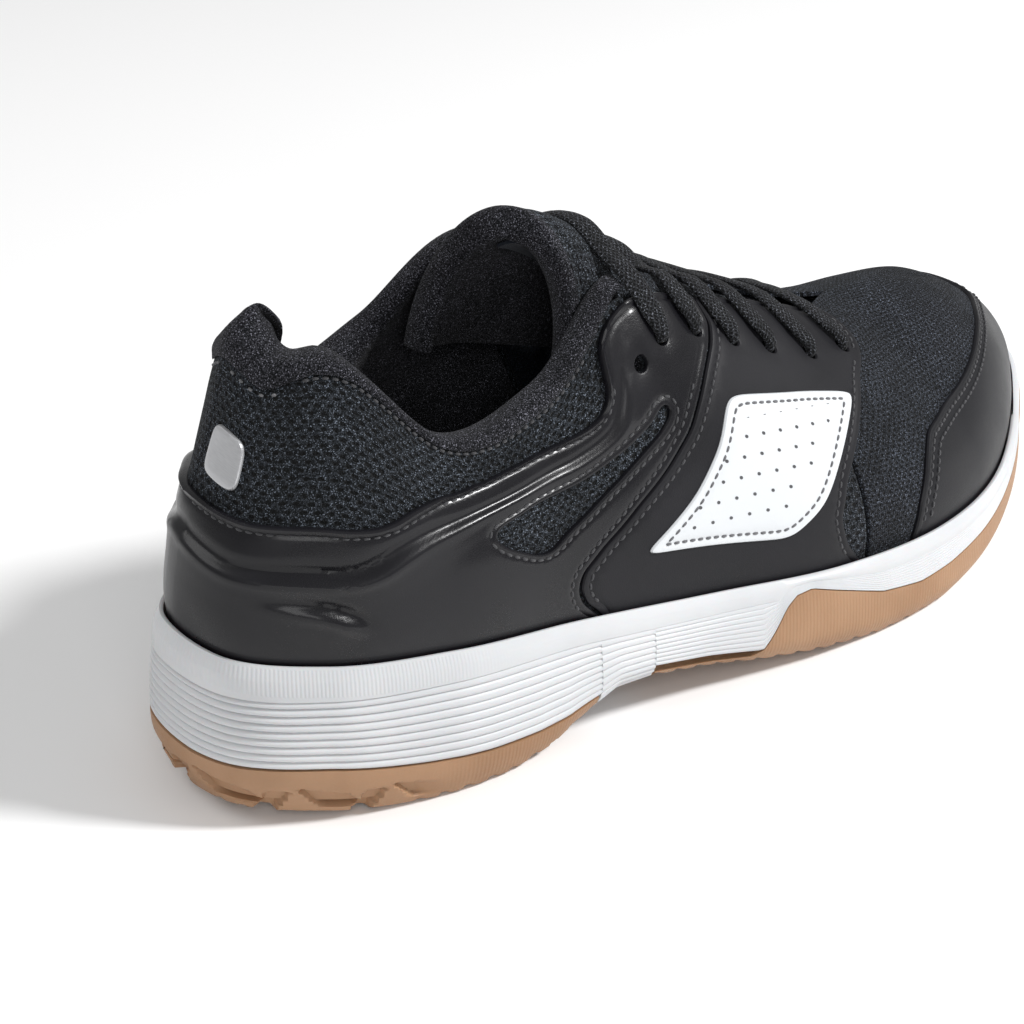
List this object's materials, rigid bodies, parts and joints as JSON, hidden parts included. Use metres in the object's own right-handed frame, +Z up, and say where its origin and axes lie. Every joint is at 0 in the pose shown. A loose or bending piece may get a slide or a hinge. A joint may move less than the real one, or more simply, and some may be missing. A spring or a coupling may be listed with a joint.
{
  "type": "court shoe",
  "caption": "Low-cut indoor court shoe for the right foot: padded mesh upper with synthetic overlays, laced throat, grooved foam midsole and rubber outsole.",
  "frame": {"origin": "centre of the bounding box on the floor the shoe stands on", "axes": "+X from heel to toe, +Y towards the inner side of the foot, +Z up; the outer side faces -Y"},
  "size_m": [0.2946, 0.1046, 0.122],
  "materials": {
    "gum": "fine-ribbed natural rubber",
    "white_foam": "moulded white foam, satin",
    "board": "stiffened nonwoven",
    "lining": "brushed black lining",
    "mesh": "knitted black air mesh",
    "synthetic": "satin coated synthetic",
    "white_film": "white satin synthetic",
    "silver_film": "silver transfer film",
    "foam": "open cell padding",
    "binding": "woven edge binding",
    "label": "satin label",
    "lace": "flat braid"
  },
  "bodies": {
    "shoe": {"outsole_heel": "gum", "outsole_forefoot": "gum", "midsole": "white_foam", "strobel_board": "board", "heel_counter": "board", "toe_puff": "board", "vamp_mesh": "mesh", "quarter_mesh_lateral": "mesh", "quarter_mesh_medial": "mesh", "heel_overlay": "synthetic", "side_panel_lateral": "synthetic", "side_panel_medial": "synthetic", "toe_overlay": "synthetic", "eyestay_backer_lateral": "lining", "eyestay_backer_medial": "lining", "side_patch_lateral": "white_film", "side_patch_medial": "white_film", "heel_badge": "silver_film", "collar_foam": "foam", "collar_lining": "lining", "vamp_lining": "lining", "lace": "lace"},
    "tongue": {"tongue_face": "mesh", "tongue_foam": "foam", "tongue_lining": "lining", "tongue_binding": "binding", "tongue_label": "label"},
    "sockliner": {"sockliner": "lining"}
  },
  "joints": [
    {"name": "tongue_press", "type": "hinge", "parent": "shoe", "child": "tongue", "pos_m": [0.0658, 0.003, 0.062], "axis": [0, -1, 0], "range_deg": [0, 8], "stiffness_Nm_per_rad": 0.06, "springref_deg": -20.05},
    {"name": "sockliner_lift", "type": "hinge", "parent": "shoe", "child": "sockliner", "pos_m": [0.1338, 0.008, 0.026], "axis": [0, 1, 0], "range_deg": [0, 4]}
  ]
}
